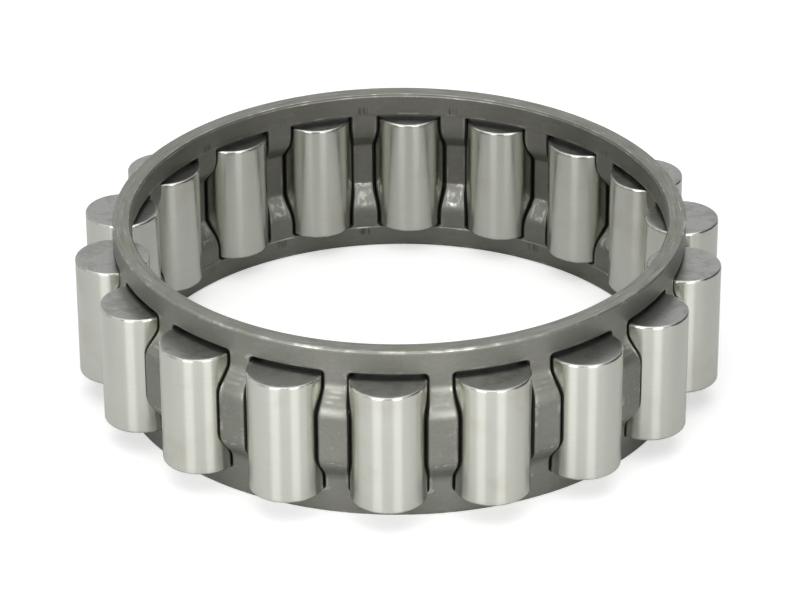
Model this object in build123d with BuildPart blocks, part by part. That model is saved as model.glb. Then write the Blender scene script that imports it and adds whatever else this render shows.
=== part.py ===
"""Roller bearing of a gearbox shaft: loose cylindrical rollers held in a formed sheet steel cage.

The cage is one ring. Its two side rims are joined by bars that step outwards in the middle.
The ends of the bars stand inside the circle of the roller centres and their crowns stand
outside it, so each roller is held from both sides and only turns about its own axis.

Lengths are in millimetres. The bearing axis is Z and the lower side face lies at Z = 0.
"""

from build123d import *
from math import cos, radians, sin, tan
import os

# Shaft raceway and the rollers that run round it
inner_raceway_diameter = 95.0
roller_diameter = 14.0
roller_length = 24.0
roller_corner = 0.5
roller_count = 18
first_roller_angle = -90.0

# Cage ring
cage_width = 34.0
rim_thickness = 3.4
rim_set_in = 0.36
rim_corner = 0.4

# Bars, which are a little thinner than the rims and step outwards in the middle
bar_relief = 0.3
bar_end_length = 3.25
bar_step = 3.06
step_angle = 40.0
neck_radius = 2.8
crown_radius = 3.8

# Pockets, and the play that a roller has in one
roller_end_play = 0.8
roller_side_clearance = 0.3
roller_seat_gap = 0.1

# Rollers and pockets, set out on the circle of the roller centres
roller_radius = roller_diameter / 2
pitch_radius = inner_raceway_diameter / 2 + roller_radius
pocket_radius = roller_radius + roller_side_clearance
pocket_length = roller_length + roller_end_play
mid_height = cage_width / 2
rim_height = mid_height - pocket_length / 2
roller_base = rim_height + roller_seat_gap

# Radii of the rims and of the bars
bar_thickness = rim_thickness - bar_relief
rim_outer_radius = pitch_radius - rim_set_in
rim_inner_radius = rim_outer_radius - rim_thickness
bar_end_radius = rim_outer_radius - bar_thickness
crown_outer_radius = rim_outer_radius + bar_step
crown_inner_radius = crown_outer_radius - bar_thickness

# Heights of the lower bends, shifted on the inner face so that the sheet keeps its thickness
half_turn = radians(step_angle) / 2
bend_shift = bar_thickness * tan(half_turn)
outer_neck_height = rim_height + bar_end_length
outer_crown_height = outer_neck_height + bar_step / tan(radians(step_angle))
inner_neck_height = outer_neck_height + bend_shift
inner_crown_height = outer_crown_height + bend_shift


def turn_offsets(bend_radius):
    """How far the two equal turns of one bend lie from its corner: upright, outwards and up."""
    ease = bend_radius * (tan(half_turn) - tan(half_turn / 2))
    return ease, ease * sin(2 * half_turn), ease * cos(2 * half_turn)


def neck_points(radius, height, bend_radius):
    """Bend from an upright line outwards onto the step, in two equal turns."""
    ease, run, rise = turn_offsets(bend_radius)
    return [(radius, height - ease), (radius + run, height + rise)]


def crown_points(radius, height, bend_radius):
    """Bend from the step back to an upright line, in two equal turns."""
    ease, run, rise = turn_offsets(bend_radius)
    return [(radius - run, height - rise), (radius, height + ease)]


def both_halves(lower_half):
    """A line from the lower side face to the middle, with its mirror image above the middle."""
    upper_half = [(radius, cage_width - height) for radius, height in reversed(lower_half)]
    return lower_half + upper_half


outer_line = both_halves(
    [
        (rim_outer_radius - rim_corner, 0),
        (rim_outer_radius, rim_corner),
        *neck_points(rim_outer_radius, outer_neck_height, neck_radius),
        *crown_points(crown_outer_radius, outer_crown_height, crown_radius),
    ]
)
inner_line = both_halves(
    [
        (rim_inner_radius, 0),
        (rim_inner_radius, rim_height),
        (bar_end_radius, rim_height),
        *neck_points(bar_end_radius, inner_neck_height, neck_radius + bar_thickness),
        (crown_inner_radius, inner_crown_height),
    ]
)

# One pocket, whose sides follow the curve of the roller
with BuildPart() as pocket:
    with BuildSketch(Plane.XY.offset(rim_height)):
        Circle(pocket_radius)
    extrude(amount=pocket_length)

# Cage: the formed section turned about the bearing axis, then pierced by the ring of pockets
with BuildPart() as cage:
    with BuildSketch(Plane.XZ):
        with BuildLine():
            outer_face = Polyline(*outer_line)
            inner_face = Polyline(*inner_line)
            Line(outer_face @ 0, inner_face @ 0)
            Line(outer_face @ 1, inner_face @ 1)
        make_face()
    revolve(axis=Axis.Z)
    with PolarLocations(pitch_radius, roller_count, start_angle=first_roller_angle):
        add(pocket.part, mode=Mode.SUBTRACT)

os.makedirs("parts", exist_ok=True)
cage.part.label = "cage"
export_step(cage.part, "parts/cage.step")

# Rollers, each standing upright just above the lower edge of its pocket
for index in range(roller_count):
    angle = radians(first_roller_angle + index * 360 / roller_count)
    seat = Plane(origin=(pitch_radius * cos(angle), pitch_radius * sin(angle), roller_base))
    with BuildPart() as roller:
        with BuildSketch(seat):
            Circle(roller_radius)
        extrude(amount=roller_length)
        chamfer(roller.edges().filter_by(GeomType.CIRCLE), length=roller_corner)
    roller_name = f"roller_{index + 1:02d}"
    roller.part.label = roller_name
    export_step(roller.part, f"parts/{roller_name}.step")
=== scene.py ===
"""Looks of the gearbox roller bearing: a formed steel cage and eighteen ground rollers.

Shapes are worked out in millimetres, as on a drawing, and turned into metres as each mesh is made.
The bearing axis is Z and the lower side face lies at Z = 0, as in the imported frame.
"""

import math

import bmesh
import bpy
import numpy as np
from mathutils import Matrix, Vector


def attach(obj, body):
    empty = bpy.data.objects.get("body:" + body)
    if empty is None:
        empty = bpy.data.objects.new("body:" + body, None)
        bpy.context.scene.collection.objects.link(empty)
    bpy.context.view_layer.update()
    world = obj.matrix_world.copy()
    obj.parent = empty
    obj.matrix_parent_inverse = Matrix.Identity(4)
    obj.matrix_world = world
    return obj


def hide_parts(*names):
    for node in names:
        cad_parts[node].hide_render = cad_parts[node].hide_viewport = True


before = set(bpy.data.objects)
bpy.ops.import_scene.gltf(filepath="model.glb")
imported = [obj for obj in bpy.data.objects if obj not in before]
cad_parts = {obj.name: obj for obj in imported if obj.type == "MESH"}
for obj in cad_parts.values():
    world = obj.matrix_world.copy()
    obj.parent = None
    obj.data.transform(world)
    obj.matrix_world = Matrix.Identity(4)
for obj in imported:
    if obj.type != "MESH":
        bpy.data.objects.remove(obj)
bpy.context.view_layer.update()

MM = 0.001

# Rollers and the circle that their centres stand on
pitch_radius = 54.5
roller_count = 18
roller_radius = 7.0
roller_length = 24.0
roller_base = 4.7
roller_corner = 0.4
first_roller_angle = -90.0
sector = 360.0 / roller_count
half_sector = math.radians(sector / 2)
sector_length = 19.0

# Rims of the cage
cage_width = 34.0
mid_height = cage_width / 2
rim_outer = 54.14
rim_inner = 50.74
rim_height = 4.6
rim_from_middle = mid_height - rim_height
outer_edge_round = 0.4
bore_edge_bevel = 0.42

# Bars: ends set back from the bore, crowns stepped outwards, and the heights of the lower bends
bar_end_inner = 51.04
crown_outer = 57.2
crown_inner = 54.1
outer_neck = 7.85
outer_crown = 11.5
inner_neck = 8.978
inner_crown = 12.626

# Pockets follow the rollers, with more clearance at their edges than on their walls
pocket_radius = 7.3
wall_radius = 7.08

# Heights at which a bar's edges and crown begin to change, and the lengths over which they do
edge_round_length = 3.4
set_back_start = 8.8
set_back_length = 2.6
crown_shade_start = 11.5
crown_shade_length = 1.2

# Steps of the cage's mesh
flank_heights = [17.0, 15.6, 14.4, 13.5, 13.0, 12.7, 12.45, 12.2, 11.8, 11.4, 11.0, 10.6, 10.2, 9.8, 9.4,
                 9.0, 8.65, 8.3, 7.95, 7.6, 7.25, 6.9, 6.5, 6.0]
bend_points = 25
corner_steps = 7
edge_steps = 8
face_columns = 5
round_steps = 4
wall_steps = 4
bar_rows = len(flank_heights) + 1 + corner_steps


# Section of the formed sheet

def smooth(t):
    t = min(max(t, 0.0), 1.0)
    return t * t * (3 - 2 * t)


def between(height, low, low_ease, high, high_ease):
    """1 between the two heights, with a soft start above the lower and a soft end below the upper."""
    return smooth((height - low) / low_ease) * smooth((high - height) / high_ease)


def mix(a, b, t):
    return a * (1 - t) + b * t


def unit(vector):
    return vector / np.linalg.norm(vector)


def rounded_line(points, radii):
    """Straight runs through (radius, height) points, joined by true arcs.

    Gives the heights and the radii along the line as two arrays in rising height.
    """
    points = [np.array(p, float) for p in points]
    line = [points[0]]
    for before, corner, after, radius in zip(points, points[1:], points[2:], radii):
        a = unit(before - corner)
        b = unit(after - corner)
        half = math.acos(float(np.clip(a @ b, -1, 1))) / 2
        reach = radius / math.tan(half)
        centre = corner + unit(a + b) * radius / math.sin(half)
        start = corner + a * reach - centre
        end = corner + b * reach - centre
        line += [centre + unit(mix(start, end, t)) * radius for t in np.linspace(0, 1, bend_points)]
    line = np.array(line + [points[-1]])
    return line[:, 1], line[:, 0]


def outer_rub_and_highlight(height):
    """How bright the outer slope of a bar is: rubbed by the press, with a painted highlight."""
    return between(height, 7.7, 0.7, 12.7, 0.9)


def inner_rub_and_highlight(height):
    """On the inner face a painted highlight with rubbing: a bright line at the bend and a patch below it,
    with a dull strip between.
    """
    return max(between(height, 12.0, 0.35, 13.1, 0.4), between(height, 8.4, 1.3, 12.0, 0.5))


# The two faces of the sheet and the edges of the pockets on them. The wear of an edge with its painted
# glint, and its painted shade, are listed from the face to the wall of the pocket. The painted shade is 0
# on the outer face, 0.5 on the inner face and 1 on the walls.
outer = {
    "section": rounded_line(
        [(rim_outer, -1), (rim_outer, outer_neck), (crown_outer, outer_crown),
         (crown_outer, mid_height + 1)],
        [2.8, 3.8],
    ),
    "bar_end": rim_outer,
    "rim": rim_outer,
    "to_wall": -1,
    "corner": 0.85,
    "neck_round": 0.4,
    "crown_round": 0.65,
    "round_start": 8.6,
    "rim_round": 0.22,
    "crown_set_back": 0.17,
    "rub_and_highlight": outer_rub_and_highlight,
    "edge_wear_and_glint": [0.6, 1.0, 0.0, 0.0, 0.0],
    "edge_shade": [0.0, 0.4, 0.95, 1.0, 1.0],
    "corner_wear_and_glint": 0.8,
    "shade": 0.0,
    "crown_shade": 0.0,
}
inner = {
    "section": rounded_line(
        [(bar_end_inner, -1), (bar_end_inner, inner_neck), (crown_inner, inner_crown),
         (crown_inner, mid_height + 1)],
        [5.9, 0.7],
    ),
    "bar_end": bar_end_inner,
    "rim": rim_inner,
    "to_wall": 1,
    "corner": 0.4,
    "neck_round": 0.4,
    "crown_round": 0.46,
    "round_start": 9.0,
    "rim_round": 0.24,
    "crown_set_back": 0.0,
    "rub_and_highlight": inner_rub_and_highlight,
    "edge_wear_and_glint": [0.4, 0.3, 0.0, 0.0, 0.0],
    "edge_shade": [0.5, 0.85, 1.0, 1.0, 1.0],
    "corner_wear_and_glint": 0.0,
    "shade": 0.5,
    "crown_shade": 0.14,
}


def face_radius(face, height):
    heights, radii = face["section"]
    return float(np.interp(height, heights, radii))


def edge_round(face, height):
    """Rounding of the bar's edges, larger on the crown than on the neck."""
    share = smooth((height - face["round_start"]) / edge_round_length)
    return mix(face["neck_round"], face["crown_round"], share)


def crown_set_back(face, height):
    """How much narrower the crown is than the round pocket alone would leave it."""
    return face["crown_set_back"] * smooth((height - set_back_start) / set_back_length)


def flank_angle(radius, pocket):
    """Half the angle that a bar spans at this radius, beside the round pockets."""
    cosine = (radius**2 + pitch_radius**2 - pocket**2) / (2 * radius * pitch_radius)
    return half_sector - math.acos(cosine)


def point(radius, angle, height):
    return np.array([radius * math.cos(angle), radius * math.sin(angle), height])


# Cage: one quarter of one bar with its share of a rim, later mirrored and turned round the axis

quarter_points = []
quarter_zones = []
quarter_faces = []


def add_point(p, zone):
    """Keeps a point with its zone: how far tools have rubbed it with its painted highlight, how worn and
    glinting an edge it is, its painted shade.
    """
    quarter_points.append(p)
    quarter_zones.append(zone)
    return len(quarter_points) - 1


def add_grid(grid):
    """Joins rows of point numbers into faces."""
    for upper, lower in zip(grid, grid[1:]):
        for corners in zip(upper, upper[1:], lower[1:], lower):
            corners = list(dict.fromkeys(corners))
            if len(corners) > 2:
                quarter_faces.append(corners)


def pocket_rows(face):
    """Edge of one quarter pocket on a face: down the bar's flank, round the corner and along the rim."""
    rows = []
    lowest = rim_height + face["corner"]
    for height in flank_heights + [lowest]:
        z = max(height, lowest)
        rows.append(dict(kind="flank", z=z, r=face_radius(face, z), round=edge_round(face, z),
                         back=crown_set_back(face, z)))
    for k in range(1, corner_steps + 1):
        share = smooth(k / corner_steps)
        rows.append(dict(kind="corner", z=rim_height, r=mix(face["bar_end"], face["rim"], share),
                         round=mix(edge_round(face, rim_height), face["rim_round"], share), back=0.0,
                         turn=math.pi / 2 * k / corner_steps))
    for k in range(1, edge_steps + 1):
        rows.append(dict(kind="rim", z=rim_height, r=face["rim"], round=face["rim_round"], back=0.0,
                         share=k / edge_steps))
    return rows


def pocket_place(row, radius, corner, offset, pocket):
    """Angle and height of a row's point on a cylinder of this radius, the offset away from the pocket."""
    flank = flank_angle(radius, pocket)
    if row["kind"] == "flank":
        return flank - offset / radius, row["z"]
    centre = flank + corner / radius
    if row["kind"] == "corner":
        reach = corner + offset
        height = rim_height + corner - reach * math.sin(row["turn"])
        return centre - reach / radius * math.cos(row["turn"]), height
    return centre + (half_sector - centre) * row["share"], rim_height - offset


def rounded_edge(face, row):
    """Points and zones round the edge of a pocket, from the face of the sheet to the wall."""
    radius, rounding, back = row["r"], row["round"], row["back"]
    wall = radius + face["to_wall"] * rounding
    start = point(radius, *pocket_place(row, radius, face["corner"], back + rounding, pocket_radius))
    sharp = point(radius, *pocket_place(row, radius, face["corner"], back, pocket_radius))
    end = point(wall, *pocket_place(row, wall, face["corner"], 0.0, wall_radius))
    edge = []
    for k, (wear_and_glint, shade) in enumerate(zip(face["edge_wear_and_glint"], face["edge_shade"])):
        t = k / round_steps
        p = start * (1 - t) ** 2 + sharp * 2 * t * (1 - t) + end * t * t
        edge.append((p, (face["rub_and_highlight"](row["z"]), wear_and_glint, shade)))
    return edge


def wall_row(outer_row, inner_row):
    """One row of a pocket's wall with its two rounded edges, from the outer face to the inner face."""
    row = rounded_edge(outer, outer_row)
    outer_end = outer_row["r"] - outer_row["round"]
    inner_end = inner_row["r"] + inner_row["round"]
    for k in range(1, wall_steps):
        t = k / wall_steps
        radius = mix(outer_end, inner_end, t)
        corner = mix(outer["corner"], inner["corner"], t)
        angle_out, height_out = pocket_place(outer_row, radius, corner, 0.0, wall_radius)
        angle_in, height_in = pocket_place(inner_row, radius, corner, 0.0, wall_radius)
        p = point(radius, mix(angle_out, angle_in, t), mix(height_out, height_in, t))
        row.append((p, (0, 0, 1)))
    row += reversed(rounded_edge(inner, inner_row))
    return [add_point(p, zone) for p, zone in row]


def bar_face(face, rows, edge):
    """Face of the bar from its centre line to the rounded edge, down to the level of the pocket's end.

    Gives the seam where the rim goes on.
    """
    grid = []
    for row, end in zip(rows[:bar_rows], edge):
        x, y, z = quarter_points[end]
        line = []
        for k in range(face_columns):
            share = k / face_columns
            radius = face_radius(face, max(z, rim_height))
            wear_and_glint = 0.0
            if row["kind"] == "corner":
                radius += (row["r"] - radius) * share**4
                wear_and_glint = face["corner_wear_and_glint"] if k == face_columns - 1 else 0.0
            on_crown = smooth((z - crown_shade_start) / crown_shade_length)
            shade = face["shade"] + face["crown_shade"] * share**3 * on_crown
            p = point(radius, math.atan2(y, x) * share, z)
            line.append(add_point(p, (face["rub_and_highlight"](z), wear_and_glint, shade)))
        grid.append(line + [end])
    add_grid(grid)
    return grid[-1] + edge[bar_rows:]


def rim_face(seam, levels):
    """Rim from the seam on. Gives its last row of points.

    Each level is a radius, a height, how evenly its points are spread and a zone. A fifth number is
    the radius beside the bar, where that differs.
    """
    grid = [seam]
    angles = [math.atan2(quarter_points[n][1], quarter_points[n][0]) for n in seam]
    for radius, height, spread, zone, *beside_bar in levels:
        bar_radius = beside_bar[0] if beside_bar else radius
        line = []
        for k, angle in enumerate(angles):
            here = mix(bar_radius, radius, min(k / face_columns, 1.0) ** 4)
            even = half_sector * k / (len(seam) - 1)
            line.append(add_point(point(here, mix(angle, even, spread), height), zone))
        grid.append(line)
    add_grid(grid)
    return grid[-1]


def make_quarter():
    """Fills the lists of points, zones and faces."""
    outer_rows = pocket_rows(outer)
    inner_rows = pocket_rows(inner)
    wall = [wall_row(o, i) for o, i in zip(outer_rows, inner_rows)]
    add_grid(wall)
    outer_seam = bar_face(outer, outer_rows, [row[0] for row in wall])
    inner_seam = bar_face(inner, inner_rows, [row[-1] for row in wall])
    ledge = rim_height - inner["rim_round"]

    # Zones of the rims: the rub with its painted highlight, the wear of an edge with its painted glint,
    # and the painted shade
    plain = (0, 0, 0)
    worn_and_glinting = (0, 1, 0)
    less_worn_and_glinting = (0, 0.8, 0)
    hardly_worn_and_glinting = (0, 0.25, 0)
    bore = (0, 0, 0.5)
    # The bevel of the bore carries painted shade
    shaded_bevel = (0, 0, 0.66)
    outer_end = rim_face(outer_seam, [
        (rim_outer, 3.9, 0.2, plain),
        (rim_outer, 2.9, 0.6, plain),
        (rim_outer, 1.6, 1.0, plain),
        (rim_outer, 0.75, 1.0, plain),
        (rim_outer, outer_edge_round, 1.0, hardly_worn_and_glinting),
        (rim_outer - 0.03, 0.25, 1.0, less_worn_and_glinting),
        (rim_outer - 0.12, 0.12, 1.0, worn_and_glinting),
        (rim_outer - 0.25, 0.03, 1.0, less_worn_and_glinting),
        (rim_outer - outer_edge_round, 0.0, 1.0, hardly_worn_and_glinting),
        (rim_outer - 0.8, 0.0, 1.0, plain),
    ])
    inner_end = rim_face(inner_seam, [
        (rim_inner, ledge - 0.01, 0.0, (0, 0.7, 0.2), bar_end_inner - 0.04),
        (rim_inner, ledge - 0.05, 0.0, (0, 1, 0.2), rim_inner + 0.05),
        (rim_inner, ledge - 0.13, 0.0, (0, 0.6, 0.4)),
        (rim_inner, 3.9, 0.2, bore),
        (rim_inner, 2.9, 0.6, bore),
        (rim_inner, 1.6, 1.0, bore),
        (rim_inner, bore_edge_bevel + 0.25, 1.0, bore),
        (rim_inner + 0.005, bore_edge_bevel + 0.04, 1.0, less_worn_and_glinting),
        (rim_inner + 0.04, bore_edge_bevel - 0.06, 1.0, worn_and_glinting),
        (rim_inner + 0.1, bore_edge_bevel - 0.14, 1.0, shaded_bevel),
        (rim_inner + 0.27, 0.11, 1.0, shaded_bevel),
        (rim_inner + 0.33, 0.05, 1.0, worn_and_glinting),
        (rim_inner + 0.42, 0.006, 1.0, less_worn_and_glinting),
        (rim_inner + 0.5, 0.0, 1.0, plain),
    ])
    add_grid([outer_end, inner_end])


def ring_points():
    """The quarter's points, mirrored to both sides of the bar and to both rims, at every bar."""
    base = np.array(quarter_points)
    copies = []
    for side in (1, -1):
        for heights in (base[:, 2], cage_width - base[:, 2]):
            for index in range(roller_count):
                turn = math.radians(first_roller_angle + sector * (index + 0.5))
                x, y = base[:, 0], base[:, 1] * side
                turned_x = x * math.cos(turn) - y * math.sin(turn)
                turned_y = x * math.sin(turn) + y * math.cos(turn)
                copies.append(np.stack([turned_x, turned_y, heights], 1))
    return copies


def make_mesh(name, points, faces):
    mesh = bpy.data.meshes.new(name)
    mesh.from_pydata([tuple(p * MM) for p in points], [], faces)
    return mesh


def make_object(name, data):
    obj = bpy.data.objects.new(name, data)
    bpy.context.scene.collection.objects.link(obj)
    return obj


def weigh_normals(obj):
    """Keeps the flat faces flat and lets only the rounded edges shade round."""
    weighted = obj.modifiers.new("face_weight", "WEIGHTED_NORMAL")
    weighted.keep_sharp = True


def make_cage():
    make_quarter()
    copies = ring_points()
    faces = []
    for copy in range(len(copies)):
        faces += [[n + copy * len(quarter_points) for n in face] for face in quarter_faces]
    mesh = make_mesh("cage_formed", np.concatenate(copies), faces)
    zones = np.ones((len(mesh.vertices), 4), np.float32)
    zones[:, :3] = quarter_zones * len(copies)
    mesh.color_attributes.new("zone", "FLOAT_COLOR", "POINT").data.foreach_set("color", zones.ravel())
    joined = bmesh.new()
    joined.from_mesh(mesh)
    bmesh.ops.remove_doubles(joined, verts=joined.verts, dist=0.002 * MM)
    bmesh.ops.recalc_face_normals(joined, faces=joined.faces)
    for face in joined.faces:
        face.smooth = True
    open_edges = sum(1 for e in joined.edges if len(e.link_faces) != 2)
    joined.to_mesh(mesh)
    joined.free()
    print("cage triangles", sum(len(p.vertices) - 2 for p in mesh.polygons), "open edges", open_edges)
    cage = make_object("cage_formed", mesh)
    weigh_normals(cage)
    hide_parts("cage")
    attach(cage, "cage")
    return cage


# Node helpers

class Value:
    """Output of a shader node. Arithmetic with it adds the nodes that work the result out."""

    def __init__(self, socket):
        self.socket = socket

    def __add__(self, other):
        return maths("ADD", self, other)

    def __sub__(self, other):
        return maths("SUBTRACT", self, other)

    def __rsub__(self, other):
        return maths("SUBTRACT", other, self)

    def __mul__(self, other):
        return maths("MULTIPLY", self, other)

    def __abs__(self):
        return maths("ABSOLUTE", self)

    def clamped(self):
        """Holds the result of the last step between 0 and 1."""
        self.socket.node.use_clamp = True
        return self

    def ramp(self, low, high, to_low=0.0, to_high=1.0):
        """Goes smoothly from one number to the other while this value goes from low to high."""
        inputs = {"Value": self, "From Min": low, "From Max": high, "To Min": to_low, "To Max": to_high}
        made = node(self.socket.id_data, "ShaderNodeMapRange", inputs, interpolation_type="SMOOTHSTEP")
        return Value(made.outputs["Result"])

    def fade(self, low, high, weakest=0.0):
        """Goes smoothly from 1 down to the weakest while this value goes from low to high."""
        return self.ramp(low, high, 1.0, weakest)


def plug(socket, value):
    """Links an input to a Value, or sets it to a number or a colour."""
    if isinstance(value, Value):
        socket.id_data.links.new(value.socket, socket)
    elif isinstance(value, tuple):
        socket.default_value = (*value, 1)
    else:
        socket.default_value = value


def node(tree, kind, inputs=None, **settings):
    made = tree.nodes.new(kind)
    for name, setting in settings.items():
        setattr(made, name, setting)
    for key, value in (inputs or {}).items():
        plug(made.inputs[key], value)
    return made


def maths(operation, *values):
    tree = next(value.socket.id_data for value in values if isinstance(value, Value))
    return Value(node(tree, "ShaderNodeMath", dict(enumerate(values)), operation=operation).outputs[0])


def larger(first, *others):
    for other in others:
        first = maths("MAXIMUM", first, other)
    return first


def mix_value(factor, first, second):
    return factor * (second - first) + first


def mix_colour(factor, first, second):
    inputs = {0: factor, 6: first, 7: second}
    return Value(node(factor.socket.id_data, "ShaderNodeMix", inputs, data_type="RGBA").outputs[2])


def combine(x, y, z):
    tree = next(value.socket.id_data for value in (x, y, z) if isinstance(value, Value))
    return Value(node(tree, "ShaderNodeCombineXYZ", {0: x, 1: y, 2: z}).outputs[0])


def noise(vector, scale=1.0, detail=2.0, roughness=0.5):
    inputs = {"Vector": vector, "Scale": scale, "Detail": detail, "Roughness": roughness}
    return Value(node(vector.socket.id_data, "ShaderNodeTexNoise", inputs).outputs["Fac"])


def bump(height, distance, strength):
    inputs = {"Height": height, "Distance": distance, "Strength": strength}
    return Value(node(height.socket.id_data, "ShaderNodeBump", inputs).outputs["Normal"])


def object_place(tree):
    """Object coordinates as one vector in metres, and their three parts in millimetres."""
    coords = Value(tree.nodes.new("ShaderNodeTexCoord").outputs["Object"])
    split = node(tree, "ShaderNodeSeparateXYZ", {0: coords})
    x, y, z = (Value(part) * (1 / MM) for part in split.outputs)
    return coords, x, y, z


def new_material(name):
    material = bpy.data.materials.new(name)
    material.use_nodes = True
    return material, material.node_tree, material.node_tree.nodes["Principled BSDF"]


def set_inputs(shader, inputs):
    for name, value in inputs.items():
        plug(shader.inputs[name], value)


def set_surface(tree, shader):
    plug(tree.nodes["Material Output"].inputs["Surface"], Value(shader.outputs[0]))


# Dull grey steel of the cage. Places and widths are in millimetres. In the vector of a noise, a factor
# sets how fine the noise is in that direction, and a plain number only picks another part of it.

steel_dark = (0.195, 0.197, 0.172)
steel_light = (0.223, 0.225, 0.199)
steel_grain = (0.153, 0.154, 0.137)
turning_mark = (0.3, 0.3, 0.275)
side_light = (0.26, 0.262, 0.24)
side_oily = (0.2, 0.207, 0.14)
side_dull = (0.12, 0.12, 0.108)
# Painted shade: the bore's brown darkening and the nearly black walls of the pockets
bore_tint_and_shade = (0.05, 0.041, 0.028)
tool_mark = (0.035, 0.033, 0.03)
# Light bare metal of worn places, also used for the painted highlights
bare_metal_and_highlight = (0.5, 0.5, 0.47)
bar_wall_shade = (0.012, 0.0105, 0.008)
rim_wall_shade = (0.03, 0.028, 0.024)


def zone_values(tree):
    """The three numbers of the zone that each point of the cage's mesh carries."""
    zone = node(tree, "ShaderNodeVertexColor", layer_name="zone")
    parts = node(tree, "ShaderNodeSeparateColor", {0: Value(zone.outputs["Color"])})
    return [Value(part) for part in parts.outputs]


def outer_slope_rub_and_highlights(to_side, sideways, drift, broken, scuff):
    """Painted highlights and rubbing: three short bright dashes across the slope, each bar's a little
    aside, over a faint scuffing.
    """
    dashes = 0.0
    for height, aside in ((8.5, 0.4), (9.2, 0.15), (10.0, -0.3)):
        off_dash = abs(sideways - aside - mix_value(drift, -1.5, 1.5))
        dashes = abs(to_side - height).fade(0.04, 0.34) * off_dash.fade(0.3, 2.0) + dashes
    return dashes * broken.ramp(0.38, 0.6, 0.2, 1.0) * 0.42 + scuff.ramp(0.3, 0.7, 0.0, 0.1)


def inner_slope_rub_and_highlights(coords, to_side, sideways, wander, broken):
    """Painted highlight with rubbing: a blotchy patch with broken bright edges, one down each side, one
    above it and one below.
    """
    blotches = noise(coords, 800, 2.0, 0.6).ramp(0.5, 0.66, 0.0, 0.45)
    off_centre = abs(sideways)
    edges = (off_centre + wander * 1.2).ramp(1.0, 1.25) * broken.ramp(0.4, 0.6, 0.0, 0.5)
    for height in (9.4, 12.55):
        line = abs(to_side + wander * 2.4 - height).fade(0.1, 0.35)
        edges = larger(edges, line * broken.ramp(0.38, 0.6, 0.0, 0.6))
    return ((blotches + edges + 0.06) * off_centre.fade(1.4, 1.6, 0.1)).clamped()


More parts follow.
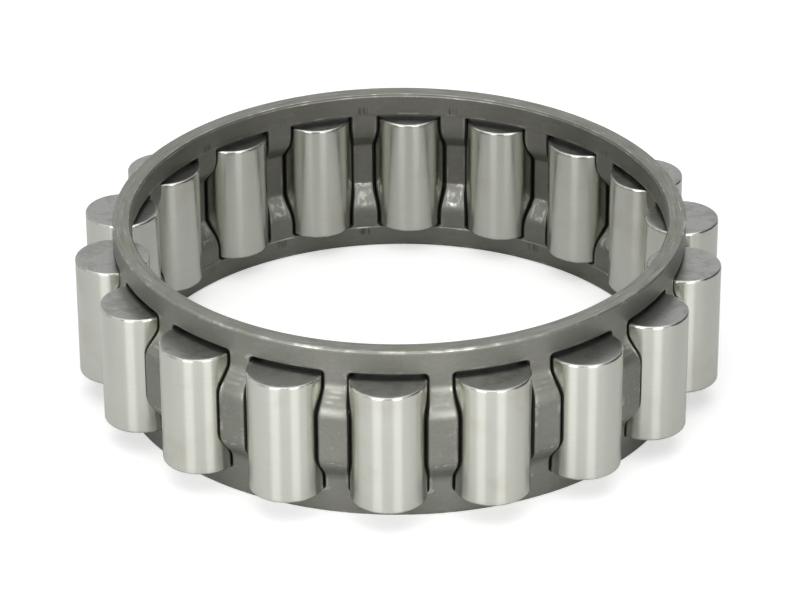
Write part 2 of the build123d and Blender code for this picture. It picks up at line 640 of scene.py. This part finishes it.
def cage_material():
    material, tree, shader = new_material("cage_steel")
    coords, x, y, z = object_place(tree)
    radius = maths("SQRT", x * x + y * y)
    angle = maths("ARCTAN2", y, x)
    rub_and_highlight, edge, shade = zone_values(tree)
    outside = shade.fade(0.2, 0.3)

    # Heights: the distance from the middle, that from the nearer side face, and which half it is
    from_middle = abs(z - mid_height)
    to_side = mid_height - from_middle
    above = z.ramp(mid_height - 0.5, mid_height + 0.5)

    # Bars are counted round the ring. Each has a place from 0 to 1 across it and a drift of its own
    bars_round = angle * (roller_count / (2 * math.pi)) + (roller_count + 0.5)
    place = maths("FRACT", bars_round)
    bar_number = maths("FLOOR", bars_round)
    drift = noise(combine(bar_number, 3.7, above * 9.0), 1.31, 0.0)

    # Clouds, grain and fine turning marks
    grain = noise(coords, 1400, 3.0, 0.6)
    speck = noise(coords, 4200)
    turned = noise(combine(angle * 14, 9.0, z * 2.1), 1.0, 3.0, 0.6)
    colour = mix_colour(noise(coords, 90, 3.0, 0.55).ramp(0.3, 0.7), steel_dark, steel_light)
    colour = mix_colour(grain.ramp(0.25, 0.75, 0.0, 0.3), colour, steel_grain)
    colour = mix_colour(turned.ramp(0.52, 0.75, 0.0, 0.3), colour, turning_mark)

    # Side faces: a darker ring by the bore, then a lighter ring with long worn streaks painted bright as
    # highlights, and an oily tint
    on_side = from_middle.ramp(mid_height - 0.07, mid_height - 0.01)
    outer_ring = on_side * radius.ramp(51.7, 52.5)
    arcs = noise(combine(angle * 8, radius * 2.3, z * MM), 1.0, 4.0, 0.6)
    patches = noise(combine(angle * 5, radius * 0.26, 4.0))
    colour = mix_colour(outer_ring * patches.ramp(0.38, 0.68, 0.0, 0.5), colour, side_light)
    colour = mix_colour(outer_ring * patches.ramp(0.48, 0.32, 0.0, 0.5), colour, side_oily)
    colour = mix_colour(on_side * arcs.ramp(0.5, 0.32, 0.0, 0.6), colour, side_dull)
    worn_highlight_streaks = on_side * arcs.ramp(0.6, 0.74, 0.0, 0.8) * radius.ramp(51.2, 52.2, 0.15, 1.0)

    # Slopes of the bars: rubbing with painted highlights where they face up, above the middle on the
    # outer face and below it on the inner face
    scuff = noise(combine(angle * 17, radius * 0.06, z))
    broken = noise(combine(angle * 26, 2.0, z * 0.42), 1.0, 1.0)
    wander = noise(coords, 620) - 0.5
    rub_and_highlight = rub_and_highlight * mix_value(outside, 1.0 - above, above).ramp(0.0, 1.0, 0.08, 1.0)
    sideways = (place - 0.5) * sector_length
    outer_rub_highlights = outer_slope_rub_and_highlights(to_side, sideways, drift, broken, scuff)
    inner_rub_highlights = inner_slope_rub_and_highlights(coords, to_side, sideways, wander, broken)
    rubbed_and_highlight = (rub_and_highlight * mix_value(outside, inner_rub_highlights, outer_rub_highlights)).clamped()

    # Edges worn in broken lines, painted lighter as glints and highlights
    on_rim = from_middle.ramp(rim_from_middle, rim_from_middle + 0.3)
    rim_breaks = noise(combine(angle * 16, radius * 0.4, z * 0.4), 1.0, 3.0, 0.55)
    rim_breaks = rim_breaks.ramp(0.48, 0.74, 0.04, 0.95)
    bar_breaks = noise(coords, 210, 5.0, 0.68).ramp(0.49, 0.66, 0.03, 0.8)
    worn_and_glinting = (edge * mix_value(on_rim, bar_breaks, rim_breaks)).clamped()

    # Painted highlight in a broken line along the lower bend of each crown, and a few specks on the
    # crowns
    bend_highlight = abs(to_side + wander * 1.2 - 11.9).fade(0.08, 0.3) * (1.0 - above)
    bend_highlight = bend_highlight * noise(coords, 1100).ramp(0.46, 0.62, 0.0, 0.55)
    specks = noise(coords, 1000, 3.0, 0.6).ramp(0.62, 0.72, 0.0, 0.3) * from_middle.fade(5.0, 6.0)
    bright = larger(rubbed_and_highlight, worn_and_glinting, worn_highlight_streaks, larger(bend_highlight, specks) * outside)

    # Groups of fine marks that the tool left on the bore beside each bar
    off_group = abs(place - mix_value(drift, 0.44, 0.56))
    marks = off_group.fade(0.035, 0.085) * from_middle.ramp(rim_from_middle + 0.2, rim_from_middle + 0.7)
    marks = marks * from_middle.fade(rim_from_middle + 1.5, rim_from_middle + 2.3) * shade.ramp(0.3, 0.45)
    marks = marks * noise(combine(angle * 130, bar_number, z * 0.15)).ramp(0.38, 0.64, 0.0, 0.6)
    marks = marks * drift.ramp(0.35, 0.55, 0.25, 1.0)

    # Painted shade: the inner face is darker, with a brown tint, above its lower slopes, and the walls of
    # the pockets are painted nearly black
    bore_arcs = noise(combine(angle * 10, 7.0, z * 1.9), 1.0, 3.0, 0.6).ramp(0.3, 0.7, 0.85, 1.15)
    inner_tint_and_shade = shade.ramp(0.0, 0.5, 0.0, 0.3) * off_group.ramp(0.12, 0.2, 0.8, 1.0) * bore_arcs
    in_wall = shade.ramp(0.5, 0.95)
    on_rim_wall = from_middle.ramp(rim_from_middle - 0.5, rim_from_middle - 0.1)
    colour = mix_colour(inner_tint_and_shade * z.ramp(9.0, 16.0), colour, bore_tint_and_shade)
    colour = mix_colour(marks, colour, tool_mark)
    colour = mix_colour(bright, colour, bare_metal_and_highlight)
    colour = mix_colour(in_wall, colour, mix_colour(on_rim_wall, bar_wall_shade, rim_wall_shade))

    rough = in_wall * 0.3 + (bright * -0.2 + speck.ramp(0.3, 0.7, 0.42, 0.5))
    relief = (grain * 0.6 + speck * 0.4) * (1.0 - rub_and_highlight * 0.85)
    relief = relief + scuff * rub_and_highlight * 3.0 - marks * 1.5
    set_inputs(shader, {
        "Base Color": colour,
        "Metallic": 0.85 - in_wall * 0.85,
        "Specular IOR Level": 0.2,
        "Roughness": rough.clamped(),
        "Normal": bump(relief, 0.01 * MM, 0.6),
    })
    return material


# Ground steel of the rollers' running faces, and their duller end faces

ground_dark = (0.585, 0.592, 0.535)
ground_light = (0.608, 0.615, 0.558)
ground_stain = (0.5, 0.47, 0.4)
ground_hair = (0.42, 0.41, 0.37)
chipped_corner = (0.3, 0.29, 0.26)
end_dark = (0.28, 0.28, 0.27)
end_light = (0.315, 0.315, 0.305)
end_smudge = (0.19, 0.186, 0.172)
end_scratch = (0.4, 0.4, 0.385)


def ground_material():
    """Fine rings of grinding stretch the reflections along the roller, with a clearer shine mixed in."""
    material, tree, shader = new_material("roller_ground")
    coords, x, y, z = object_place(tree)
    grinding = noise(combine(x * 0.07, y * 0.07, z * 5.2), 1.0, 3.0, 0.6)
    hairs = noise(combine(x * 0.13, y * 0.13, z * 2.6), 1.0, 1.0)
    from_middle = abs(z - (roller_base + roller_length / 2))
    on_corner = from_middle.ramp(roller_length / 2 - 0.42, roller_length / 2 - 0.3)
    chipped = on_corner * noise(coords, 600, 2.0, 0.6).ramp(0.4, 0.6, 0.1, 0.75)
    colour = mix_colour(grinding.ramp(0.25, 0.75), ground_dark, ground_light)
    colour = mix_colour(noise(coords, 120, 3.0).ramp(0.54, 0.76, 0.0, 0.45), colour, ground_stain)
    colour = mix_colour(hairs.ramp(0.74, 0.82, 0.0, 0.25), colour, ground_hair)
    colour = mix_colour(chipped, colour, chipped_corner)
    tangent = node(tree, "ShaderNodeTangent", direction_type="UV_MAP", uv_map="round")
    set_inputs(shader, {
        "Base Color": colour,
        "Metallic": 1.0,
        "Anisotropic": 1.0,
        "Anisotropic Rotation": 0.25,
        "Roughness": grinding.ramp(0.2, 0.8, 0.29, 0.31),
        "Tangent": Value(tangent.outputs[0]),
    })
    clear = node(tree, "ShaderNodeBsdfPrincipled", {
        "Base Color": colour,
        "Metallic": 1.0,
        "Roughness": grinding.ramp(0.2, 0.8, 0.13, 0.18),
    })
    clear_share = 0.66
    both = {0: clear_share, 1: Value(shader.outputs[0]), 2: Value(clear.outputs[0])}
    set_surface(tree, node(tree, "ShaderNodeMixShader", both))
    return material


def end_material():
    material, tree, shader = new_material("roller_end")
    coords, x, y, z = object_place(tree)
    grain = noise(coords, 2200, 3.0, 0.6)
    scratches = noise(combine(x * 0.26, y * 2.6 + x * 0.7, z * MM), 1.0, 3.0, 0.6)
    colour = mix_colour(grain.ramp(0.3, 0.7), end_dark, end_light)
    colour = mix_colour(noise(coords, 330, 4.0, 0.6).ramp(0.46, 0.64, 0.0, 0.55), colour, end_smudge)
    colour = mix_colour(scratches.ramp(0.54, 0.7, 0.0, 0.5), colour, end_scratch)
    set_inputs(shader, {
        "Base Color": colour,
        "Metallic": 1.0,
        "Roughness": grain.ramp(0.2, 0.8, 0.29, 0.33),
        "Normal": bump(grain, 0.0004 * MM, 0.15),
    })
    return material


# Rollers: straight ground faces, rounded corners and flat ends

roller_turns = 96
roller_corner_steps = 5
roller_end_rings = [0.35, 2.5, 4.8, 6.2]
roller_flank_rings = [0.9, 4.0, roller_length / 2]
roller_end_radius = roller_radius - 0.2 * roller_corner


def roller_outline():
    """Radius and height of each ring of points, from the lower end face to the upper one."""
    lower = [(r, 0.0) for r in roller_end_rings]
    for k in range(roller_corner_steps + 1):
        t = math.pi / 2 * k / roller_corner_steps
        radius = roller_radius - roller_corner * (1 - math.sin(t))
        lower.append((radius, roller_corner * (1 - math.cos(t))))
    lower += [(roller_radius, h) for h in roller_flank_rings]
    return lower + [(r, roller_length - h) for r, h in reversed(lower[:-1])]


def roller_faces(outline):
    """Faces of a roller, the material of each, and each corner's place on the unrolled running face."""
    faces, materials, places = [], [], []
    around = 2 * math.pi * roller_radius / roller_length / roller_turns
    for i, (lower, upper) in enumerate(zip(outline, outline[1:])):
        on_end = max(lower[0], upper[0]) < roller_end_radius
        low, high = lower[1] / roller_length, upper[1] / roller_length
        for k in range(roller_turns):
            here = i * roller_turns + k
            beside = i * roller_turns + (k + 1) % roller_turns
            faces.append([here, beside, beside + roller_turns, here + roller_turns])
            materials.append(1 if on_end else 0)
            left, right = k * around, (k + 1) * around
            places += [(left, low), (right, low), (right, high), (left, high)]
    last = (len(outline) - 1) * roller_turns
    low_centre = last + roller_turns
    high_centre = low_centre + 1
    for k in range(roller_turns):
        beside = (k + 1) % roller_turns
        faces += [[low_centre, beside, k], [high_centre, last + k, last + beside]]
        materials += [1, 1]
        places += [(0, 0)] * 3 + [(0, 1)] * 3
    return faces, materials, places


def make_roller(index, steels):
    outline = roller_outline()
    centre = point(pitch_radius, math.radians(first_roller_angle + sector * index), roller_base)
    points = []
    for r, h in outline:
        points += [centre + point(r, 2 * math.pi * k / roller_turns, h) for k in range(roller_turns)]
    points += [centre, centre + point(0, 0, roller_length)]
    faces, materials, places = roller_faces(outline)
    mesh = make_mesh(f"ground_roller_{index + 1:02d}", points, faces)
    for steel in steels:
        mesh.materials.append(steel)
    mesh.polygons.foreach_set("material_index", materials)
    mesh.polygons.foreach_set("use_smooth", [True] * len(faces))
    mesh.uv_layers.new(name="round").data.foreach_set("uv", np.array(places, np.float32).ravel())
    obj = make_object(mesh.name, mesh)
    weigh_normals(obj)
    body = f"roller_{index + 1:02d}"
    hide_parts(body)
    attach(obj, body)


cage = make_cage()
cage.data.materials.append(cage_material())
roller_steels = [ground_material(), end_material()]
for index in range(roller_count):
    make_roller(index, roller_steels)


# Floor, background and studio lamps. Places and sizes are in metres here

view_azimuth = math.radians(-90 + 2.281)
view_elevation = math.radians(28.966)
floor_half_size = 3.0
floor_drop = 0.00005
floor_grey = 0.72
world_light = 0.35
softbox_elevation = math.radians(13.0)
softbox_distance = 0.42
softbox_height = 0.207
softbox_radiance = 7.3
left_softbox = ("left_softbox", math.radians(-31), 0.183)
right_softbox = ("right_softbox", math.radians(26), 0.17)
top_elevation = math.radians(84)
top_distance = 0.9
top_size = 1.1
top_radiance = 1.5
card_aside = math.radians(95)
card_distance = 0.35
card_size = 0.5
card_grey = 0.12


def towards(azimuth, elevation):
    flat = math.cos(elevation)
    return Vector((math.cos(azimuth) * flat, math.sin(azimuth) * flat, math.sin(elevation)))


def ray_kinds(tree):
    """Whether a ray comes from the camera, and whether metal or glass sent it on."""
    path = tree.nodes.new("ShaderNodeLightPath")
    mirrored = larger(Value(path.outputs["Is Glossy Ray"]), Value(path.outputs["Is Transmission Ray"]))
    return Value(path.outputs["Is Camera Ray"]), mirrored


def make_matt(name, grey):
    material, tree, shader = new_material(name)
    set_inputs(shader, {"Base Color": (grey, grey, grey), "Roughness": 0.9, "Specular IOR Level": 0.0})
    return material, tree, shader


def make_floor():
    """White floor: the camera and the metal see it glow, and the object's shadow stays on it."""
    mesh = bpy.data.meshes.new("floor")
    s = floor_half_size
    mesh.from_pydata([(-s, -s, 0), (s, -s, 0), (s, s, 0), (-s, s, 0)], [], [(0, 1, 2, 3)])
    floor = make_object("floor", mesh)
    floor.location.z = -floor_drop
    material, tree, shader = make_matt("floor", floor_grey)
    x, y = object_place(tree)[1:3]
    from_camera, mirrored = ray_kinds(tree)

    # The camera sees less of the glow near the object. The metal sees more of it from the front: a
    # painted pool of light before the ring, and painted shade inside and behind it
    seen = from_camera * maths("SQRT", x * x + y * y).ramp(70.0, 300.0, 0.52, 0.9)
    painted_glow_in_metal = mirrored * y.ramp(-20.0, -120.0, 0.04, 0.18)
    glow = node(tree, "ShaderNodeEmission", {"Color": (1, 1, 1), "Strength": seen + painted_glow_in_metal})
    both = {0: Value(shader.outputs[0]), 1: Value(glow.outputs[0])}
    set_surface(tree, node(tree, "ShaderNodeAddShader", both))
    mesh.materials.append(material)


def make_lamp(name, target, azimuth, elevation, distance, width, height, radiance):
    """Softbox that faces the target from this direction and distance."""
    lamp = bpy.data.lights.new(name, "AREA")
    lamp.shape = "RECTANGLE"
    lamp.size = width
    lamp.size_y = height
    lamp.energy = radiance * math.pi * width * height
    obj = make_object(name, lamp)
    direction = towards(azimuth, elevation)
    obj.location = target + direction * distance
    obj.rotation_mode = "QUATERNION"
    obj.rotation_quaternion = direction.to_track_quat("Z", "Y")
    obj.visible_camera = False


def make_card(name, azimuth, distance, size):
    """Upright grey card that keeps light off one side of the table, out of the camera's sight."""
    mesh = bpy.data.meshes.new(name)
    half = size / 2
    mesh.from_pydata([(-half, 0, 0), (half, 0, 0), (half, 0, size), (-half, 0, size)], [], [(0, 1, 2, 3)])
    card = make_object(name, mesh)
    card.location = towards(azimuth, 0) * distance
    card.rotation_euler.z = azimuth + math.pi / 2
    mesh.materials.append(make_matt(name, card_grey)[0])
    card.visible_camera = False


def make_world():
    """White where it is seen or mirrored, and dimmer as a light."""
    world = bpy.data.worlds.new("studio")
    bpy.context.scene.world = world
    world.use_nodes = True
    from_camera, mirrored = ray_kinds(world.node_tree)
    seen = larger(from_camera, mirrored)
    background = world.node_tree.nodes["Background"]
    set_inputs(background, {"Color": (1, 1, 1), "Strength": mix_value(seen, world_light, 1.0)})


# Two softboxes beside the camera face the front roller, and a large one hangs above the ring
make_floor()
make_world()
front_roller = Vector((0.0, -pitch_radius, mid_height)) * MM
for name, aside, width in (left_softbox, right_softbox):
    make_lamp(name, front_roller, view_azimuth + aside, softbox_elevation, softbox_distance,
              width, softbox_height, softbox_radiance)
make_lamp("top_softbox", Vector((0, 0, 0)), view_azimuth, top_elevation, top_distance,
          top_size, top_size, top_radiance)
make_card("right_card", view_azimuth + card_aside, card_distance, card_size)


# Camera, fitted to the outlines in the photo

photo_width = 800.0
focal_pixels = 4129.58
sensor_width = 36.0
camera_distance = 0.79156
aim_height = 0.2 * pitch_radius * MM
camera_pan = math.radians(0.0045)
camera_tilt = math.radians(0.2580)
camera_roll = math.radians(-0.3264)


def swing(first, second, angle):
    """Turns two directions at right angles together, the first towards the second."""
    c, s = math.cos(angle), math.sin(angle)
    return first * c + second * s, second * c - first * s


def make_camera():
    data = bpy.data.cameras.new("camera")
    data.sensor_width = sensor_width
    data.lens = focal_pixels * sensor_width / photo_width
    data.clip_start = 0.05
    data.clip_end = 20.0
    camera = make_object("camera", data)
    back = towards(view_azimuth, view_elevation)
    ahead = -back
    right = ahead.cross(Vector((0, 0, 1))).normalized()
    up = right.cross(ahead)
    ahead, right = swing(ahead, right, camera_pan)
    ahead, up = swing(ahead, up, camera_tilt)
    right, up = swing(right, up, camera_roll)
    position = back * camera_distance + Vector((0, 0, aim_height))
    turn = Matrix((right, up, -ahead)).transposed().to_4x4()
    camera.matrix_world = Matrix.Translation(position) @ turn
    bpy.context.scene.camera = camera


make_camera()
bpy.context.scene.view_settings.view_transform = "Standard"
